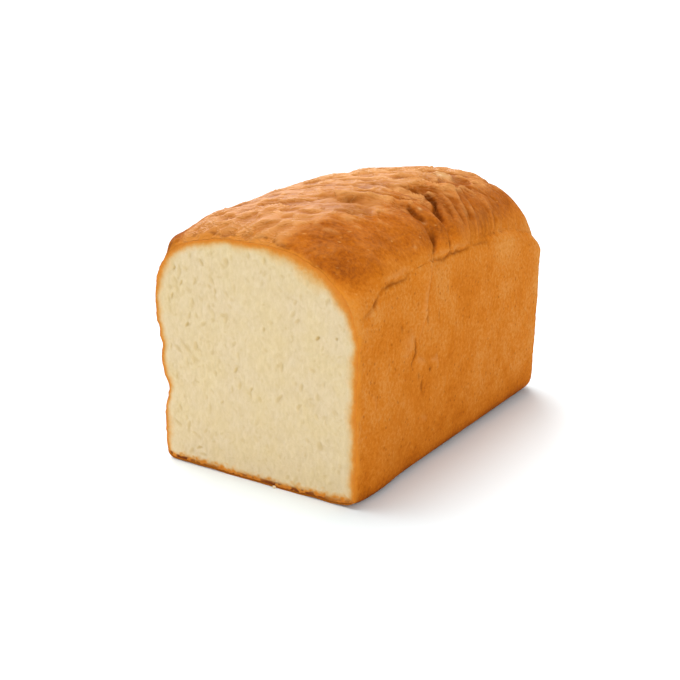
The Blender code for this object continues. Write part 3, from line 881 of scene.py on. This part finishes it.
# The crumb is the soft inside that the knife laid open: pale dough full of small gas cells, drawn
# out upwards as it rose, tighter and browner in the last millimetres under the crust.
CRUMB_INSET = 0.28
CRUMB_BACK = 2.0
CRUMB_COLUMNS = 236
CRUMB_ROWS = 232
CELLS = 1700
crumb_outline = ring_inset(cut_outline, CRUMB_INSET)
crumb_outline[:, 1] = np.maximum(crumb_outline[:, 1], 0.35)
corner_right = BASE_POINTS + EDGE_POINTS // 2 + 1
shoulder_right = int(np.argmin(np.where(crumb_outline[:, 0] > 0, np.abs(crumb_outline[:, 1] - 97.0), 1e9)))
shoulder_left = int(np.argmin(np.where(crumb_outline[:, 0] < 0, np.abs(crumb_outline[:, 1] - 97.0), 1e9)))
corner_left = RING - corner_right
right_edge = spaced(crumb_outline[corner_right:shoulder_right + 1], CRUMB_ROWS)
top_edge = spaced(crumb_outline[shoulder_right:shoulder_left + 1], CRUMB_COLUMNS)[::-1]
left_edge = spaced(crumb_outline[shoulder_left:corner_left + 1], CRUMB_ROWS)[::-1]
base_run = np.concatenate([crumb_outline[corner_left:], crumb_outline[:corner_right + 1]])
base_edge = spaced(base_run, CRUMB_COLUMNS)
u = np.linspace(0.0, 1.0, CRUMB_COLUMNS)[None, :, None]
v = np.linspace(0.0, 1.0, CRUMB_ROWS)[:, None, None]
crumb_face = ((1 - v) * base_edge[None] + v * top_edge[None]
              + (1 - u) * left_edge[:, None] + u * right_edge[:, None]
              - (1 - u) * (1 - v) * base_edge[0] - u * (1 - v) * base_edge[-1]
              - (1 - u) * v * top_edge[0] - u * v * top_edge[-1])

# Distance of each place on the cut from the outside of the crust, and the height of the nearest crust
outline_points = spaced(np.concatenate([cut_outline, cut_outline[:1]]), 900)
under_crust = np.empty(crumb_face.shape[:2])
nearest_crust = np.empty(crumb_face.shape)
for row in range(CRUMB_ROWS):
    gap = ((crumb_face[row][:, None, :] - outline_points[None]) ** 2).sum(axis=2)
    under_crust[row] = np.sqrt(gap.min(axis=1))
    nearest_crust[row] = outline_points[gap.argmin(axis=1)]
cut_places = np.dstack([crumb_face[..., 0], crumb_face[..., 1], np.zeros(under_crust.shape)])
near_base = 1.0 - ease(1.0, 5.0, nearest_crust[..., 1])
near_top = ease(84.0, 100.0, nearest_crust[..., 1])
rim_width = 2.3 + 1.0 * near_base + (0.5 + 1.5 * ease(0.0, 40.0, nearest_crust[..., 0])) * near_top
rim_width += 0.6 * ease(0.0, 50.0, nearest_crust[..., 0])
rim_width *= 1.0 + (0.30 - 0.15 * near_base) * lattice_noise(cut_places, 7.0, 63)
torn = lattice_noise(cut_places, (2.2, 1.4, 1.0), 65) + 0.7 * lattice_noise(cut_places, (1.2, 0.9, 1.0), 66)
rim_share = np.maximum(under_crust / rim_width + near_base * 0.30 * torn, 0.0) ** (1.0 + 0.5 * near_base)

# Burnt dough along the base: dark clumps of uneven size a little above the edge, and a dark edge
clump_stretch = 0.35 + 0.65 * ease(-0.5, 0.5, lattice_noise(cut_places, 12.0, 67))
to_right = ease(-30.0, 40.0, cut_places[..., 0])
over_clumps = ease(1.6, 2.6 + 1.2 * to_right, under_crust)
scorch = near_base * clump_stretch * ease(-0.05, 0.20, torn) * (1.0 - over_clumps)
scorch = np.maximum(scorch, near_base * (1.0 - ease(0.6, 1.0, under_crust)))
scorch = np.clip(scorch, 0.0, 1.0)

# Larger gas cells that stand out on the cut, in millimetres: distance from the middle, height, half
# length, half width, depth, and how far the long way leans to the right in degrees
LARGE_CELLS = (
    (-39, 73, 2.2, 0.9, 0.75, 35), (-34, 63, 2.4, 1.6, 0.42, 10), (-10, 55, 2.0, 1.1, 0.60, 45),
    (4, 43, 2.0, 1.5, 0.38, 0), (37, 79, 1.7, 1.0, 0.85, 30), (26, 85, 2.0, 1.0, 0.35, 60),
    (47, 80, 0.8, 0.7, 0.60, 0), (-29, 105, 2.6, 1.1, 0.55, -40), (-14, 107, 2.5, 1.8, 0.42, 0),
    (8, 111, 2.3, 1.1, 0.48, 10), (-46, 100, 1.5, 1.0, 0.80, 20), (-42, 93, 2.0, 0.8, 0.60, 30),
    (-48, 86, 2.2, 0.8, 0.60, 10), (-15, 80, 3.2, 1.5, 0.35, 8), (7, 78, 1.5, 1.0, 0.50, 15),
    (-1, 47, 1.3, 0.9, 0.50, 20), (37, 51, 2.4, 1.8, 0.34, 10), (38, 27, 2.6, 2.0, 0.42, 0),
    (-34, 10, 2.4, 1.0, 0.55, 65), (-19, 37, 1.4, 1.0, 0.40, 20), (-50, 60, 2.4, 0.8, 0.50, 0),
    (-47, 45, 2.0, 0.8, 0.45, 10), (-21, 92, 1.8, 0.9, 0.45, -20))

# The rest are seeded bowls, larger towards the left wall and the top, that lean out to both sides
CELLS_ACROSS = (-56.0, 56.0)
CELLS_UP = (4.0, 116.0)
LOOSER_LEFT = 0.55
LOOSER_TOP = 0.30
CELL_HALF = 0.80
CELL_VARIETY = 0.50
SLIMNESS = (0.35, 0.85)
SLIM_MOST = 1.2
DEPTH_SHARE = 0.13
DEPTH_MOST = 0.40
LEAN_OUT = 0.6
LEAN_SPREAD = 45.0
draw = np.random.default_rng(7)
cells = list(LARGE_CELLS)
for _ in range(CELLS):
    middle = (draw.uniform(*CELLS_ACROSS), draw.uniform(*CELLS_UP))
    looseness = 1.0 + LOOSER_LEFT * ease(0.0, -50.0, middle[0]) + LOOSER_TOP * ease(80.0, 115.0, middle[1])
    long_half = CELL_HALF * looseness * draw.lognormal(0.0, CELL_VARIETY)
    slim_half = min(SLIM_MOST, long_half * draw.uniform(*SLIMNESS))
    depth = min(DEPTH_MOST, DEPTH_SHARE * draw.uniform(0.0, 1.5) * long_half)
    lean = draw.normal(-8.0 + LEAN_OUT * middle[0], LEAN_SPREAD)
    cells.append((*middle, long_half, slim_half, depth, lean))
flat_face = crumb_face.reshape(-1, 2)
crooked = np.stack([lattice_noise(cut_places, 1.9, seed) for seed in (68, 69)], axis=-1)
crooked = crooked.reshape(-1, 2)
cell_depth = np.zeros(len(flat_face))
for middle_x, middle_z, long_half, slim_half, depth, lean in cells:
    offset = flat_face - (middle_x, middle_z)
    near = np.nonzero(np.abs(offset).max(axis=1) < 1.3 * long_half)[0]
    if len(near) == 0:
        continue
    offset = offset[near] + 0.35 * crooked[near]
    lean = np.radians(lean)
    up = (offset[:, 1] * np.cos(lean) + offset[:, 0] * np.sin(lean)) / long_half
    side = (offset[:, 0] * np.cos(lean) - offset[:, 1] * np.sin(lean)) / slim_half
    bowl = depth * np.clip(1.0 - up ** 2 - side ** 2, 0.0, 1.0) ** 0.8
    cell_depth[near] = np.maximum(cell_depth[near], bowl)
cell_depth = cell_depth.reshape(under_crust.shape)
open_crumb = ease(2.5, 7.0, under_crust)
knife_drag = lattice_noise(cut_places, (9.0, 9.0, 9.0), 61)
fibre = lattice_noise(cut_places, (1.3, 2.2, 1.3), 62)
sunk = open_crumb * (cell_depth + 0.12 * (fibre + 1.0)) + 0.10 * (knife_drag + 1.0) * open_crumb
sunk += (1.0 - ease(0.0, 1.6, under_crust)) * 0.06 + 0.45 * scorch
sunk += 0.30 * near_base * (1.0 + np.clip(torn, -1.0, 1.0)) * (1.0 - ease(1.5, 4.5, under_crust))

border = [(0, c) for c in range(CRUMB_COLUMNS)]
border += [(r, CRUMB_COLUMNS - 1) for r in range(1, CRUMB_ROWS)]
border += [(CRUMB_ROWS - 1, c) for c in range(CRUMB_COLUMNS - 2, -1, -1)]
border += [(r, 0) for r in range(CRUMB_ROWS - 2, 0, -1)]
front = np.dstack([crumb_face[..., 0], sunk, crumb_face[..., 1]]).reshape(-1, 3)
rim_index = [r * CRUMB_COLUMNS + c for r, c in border]
back = front[rim_index].copy()
back[:, 1] = CRUMB_BACK
crumb_faces = [(r * CRUMB_COLUMNS + c, r * CRUMB_COLUMNS + c + 1,
                (r + 1) * CRUMB_COLUMNS + c + 1, (r + 1) * CRUMB_COLUMNS + c)
               for r in range(CRUMB_ROWS - 1) for c in range(CRUMB_COLUMNS - 1)]
first_back = len(front)
for step in range(len(border)):
    after = (step + 1) % len(border)
    crumb_faces.append((rim_index[after], rim_index[step], first_back + step, first_back + after))
crumb_faces.append(tuple(first_back + step for step in range(len(border))))


def with_back(values, at_back):
    return np.concatenate([values.ravel(), np.full(len(border), at_back)])


crumb = woven_mesh("loaf_crumb", to_metres(np.concatenate([front, back])), crumb_faces, {
    "rim_share": with_back(rim_share, 0.0), "scorch": with_back(scorch, 0.0),
    "cell_shade": with_back(cell_depth * open_crumb, 0.0),
    "fibre": with_back(0.5 + 0.5 * fibre, 0.5)})

crumb_material = bpy.data.materials.new("cream_crumb")
tree, shader, add = shader_of(crumb_material)
where = add("ShaderNodeTexCoord").outputs["Object"]
toast, burnt, cell_shade, fibres = (add("ShaderNodeAttribute", attribute_name=name).outputs["Fac"]
                              for name in ("rim_share", "scorch", "cell_shade", "fibre"))
drawn_up = add("ShaderNodeMapping")
drawn_up.inputs["Scale"].default_value = (1.0, 1.0, 0.55)
drawn_up.inputs["Rotation"].default_value = (0.0, 0.35, 0.0)
tree.links.new(where, drawn_up.inputs["Vector"])
threads = mottle(tree, add, drawn_up.outputs["Vector"], 480.0, 4.0, 0.70, 0.6)
rim_ramp = ramp_of(add, [
    (0.00, (0.780, 0.240, 0.018)),
    (0.22, (0.810, 0.300, 0.036)),
    (0.36, (0.830, 0.400, 0.105)),
    (0.50, (0.850, 0.530, 0.235)),
    (0.70, (0.880, 0.655, 0.395)),
    (1.00, (0.885, 0.725, 0.495))])
porous = mottle(tree, add, where, 620.0, 3.0, 0.6)
ragged_toast = worked(tree, add, "ADD", worked(tree, add, "MULTIPLY", toast, 0.5),
                      swayed(tree, add, porous, 0.30))
tree.links.new(ragged_toast, rim_ramp.inputs["Fac"])
patches = ramp_of(add, [(0.38, (1.000, 0.985, 1.000)), (0.62, (1.000, 0.975, 0.890))])
tree.links.new(mottle(tree, add, where, 50.0, 4.0, 0.6), patches.inputs["Fac"])
varied = tinted(tree, add, "MULTIPLY", 0.8, rim_ramp.outputs["Color"], patches.outputs["Color"])
cloud = mottle(tree, add, where, 110.0, 3.0, 0.7)
# The gas cells get painted shade, strongest where they sink deepest
crumb_colour = coated(tree, add, varied, (
    ("MULTIPLY", cloud, 0.60, (0.930, 0.870, 0.740)),
    ("MULTIPLY", fibres, 0.45, (0.900, 0.860, 0.760)),
    ("MULTIPLY", threads, 1.0, (0.760, 0.720, 0.620)),
    ("MIX", cell_shade, 1.60, (0.610, 0.425, 0.185)),
    ("MIX", burnt, 0.92, (0.210, 0.036, 0.004))))
tree.links.new(crumb_colour, shader.inputs["Base Color"])
soft_noise = mottle(tree, add, where, 900.0, 2.0)
roughness = worked(tree, add, "ADD", worked(tree, add, "MULTIPLY", soft_noise, 0.2), 0.72)
tree.links.new(roughness, shader.inputs["Roughness"])
bumped(tree, add, shader, worked(tree, add, "ADD", soft_noise, threads), 0.5, 0.0005)
shader.inputs["Specular IOR Level"].default_value = 0.25
crumb.data.materials.append(crumb_material)
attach(crumb, "root")

# One loose white crumb lies against the foot of the cut, where the knife came through.
# It is a torn scrap of the same dough, a bit over a millimetre across.
LOOSE_PLACE = (12.2, -0.75, 0.62)
LOOSE_HALF = (0.85, 0.60, 0.62)
turns, rises = np.meshgrid(np.linspace(0.0, 2.0 * np.pi, 25)[:-1], np.linspace(0.0, np.pi, 14)[1:-1])
ball = np.stack([np.cos(turns) * np.sin(rises), np.sin(turns) * np.sin(rises), np.cos(rises)], axis=-1)
ball = np.concatenate([[(0.0, 0.0, 1.0)], ball.reshape(-1, 3), [(0.0, 0.0, -1.0)]])
ball = ball * (1.0 + 0.30 * lattice_noise(ball + 7.0, 0.7, 71))[:, None]
scrap_points = ball * LOOSE_HALF + LOOSE_PLACE
scrap_points[:, 2] = np.maximum(scrap_points[:, 2], 0.02)
AROUND, BANDS = 24, 12
scrap_faces = [(0, 1 + c, 1 + (c + 1) % AROUND) for c in range(AROUND)]
scrap_faces += [(1 + b * AROUND + c, 1 + (b + 1) * AROUND + c, 1 + (b + 1) * AROUND + (c + 1) % AROUND,
                 1 + b * AROUND + (c + 1) % AROUND) for b in range(BANDS - 1) for c in range(AROUND)]
scrap_faces += [(len(ball) - 1, 1 + (BANDS - 1) * AROUND + (c + 1) % AROUND, 1 + (BANDS - 1) * AROUND + c)
                for c in range(AROUND)]
scrap = woven_mesh("loose_crumb", to_metres(scrap_points), scrap_faces, {
    "rim_share": np.full(len(ball), 2.0), "fibre": np.full(len(ball), 0.3)})
scrap.data.materials.append(crumb_material)
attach(scrap, "root")

# The loaf stands on a plain white studio table that runs on out of sight behind it. It isn't part
# of the loaf: matt white paper, lit so far that only the soft shadow shows.
TABLE_REACH = 20.0
table_mesh = bpy.data.meshes.new("studio_table")
table_corners = [(-TABLE_REACH, -TABLE_REACH, 0.0), (TABLE_REACH, -TABLE_REACH, 0.0),
                 (TABLE_REACH, TABLE_REACH, 0.0), (-TABLE_REACH, TABLE_REACH, 0.0)]
table_mesh.from_pydata(table_corners, [], [(0, 1, 2, 3)])
table = bpy.data.objects.new("studio_table", table_mesh)
bpy.context.scene.collection.objects.link(table)
paper = bpy.data.materials.new("white_paper")
tree, shader, add = shader_of(paper)
shader.inputs["Base Color"].default_value = (0.885, 0.940, 0.960, 1.0)
shader.inputs["Roughness"].default_value = 0.9
shader.inputs["Specular IOR Level"].default_value = 0.0
table_mesh.materials.append(paper)

# Studio light: a broad bright ceiling to the left of the loaf, a low one behind it, a weaker one on
# the right, and pale walls all round. The lamps are far off, so the table stays white all over.
sky = bpy.data.worlds.new("pale_studio")
sky.use_nodes = True
sky.node_tree.nodes["Background"].inputs["Color"].default_value = (0.96, 1.0, 1.01, 1.0)
sky.node_tree.nodes["Background"].inputs["Strength"].default_value = 0.40
bpy.context.scene.world = sky
LOAF_MIDDLE = (0.0, 0.0, 0.06)


def aim_at(holder, place, target):
    """Puts a lamp or a camera at a place and turns it to a target, upright."""
    way = np.array(place) - np.array(target)
    holder.location = place
    holder.rotation_euler = (np.arctan2(np.hypot(way[0], way[1]), way[2]), 0.0, np.arctan2(way[0], -way[1]))


def far_lamp(name, place, strength, spread):
    lamp = bpy.data.lights.new(name, "SUN")
    lamp.energy = strength
    lamp.angle = np.radians(spread)
    holder = bpy.data.objects.new(name, lamp)
    bpy.context.scene.collection.objects.link(holder)
    aim_at(holder, place, LOAF_MIDDLE)


far_lamp("ceiling_left", (-0.46, 0.12, 1.60), 2.6, 42.0)
far_lamp("back_left", (-1.10, 1.10, 0.80), 1.05, 30.0)
far_lamp("right_fill", (1.40, -0.90, 0.75), 1.3, 50.0)

# Camera of the photograph, from the right of the cut and a little above
camera_data = bpy.data.cameras.new("loaf_camera")
camera_data.sensor_width = 36.0
camera_data.lens = 63.62
camera = bpy.data.objects.new("loaf_camera", camera_data)
bpy.context.scene.collection.objects.link(camera)
aim_at(camera, (0.32708, -0.52085, 0.24042), (-0.01003, -0.00935, 0.04621))
bpy.context.scene.camera = camera
bpy.context.scene.view_settings.view_transform = "Standard"
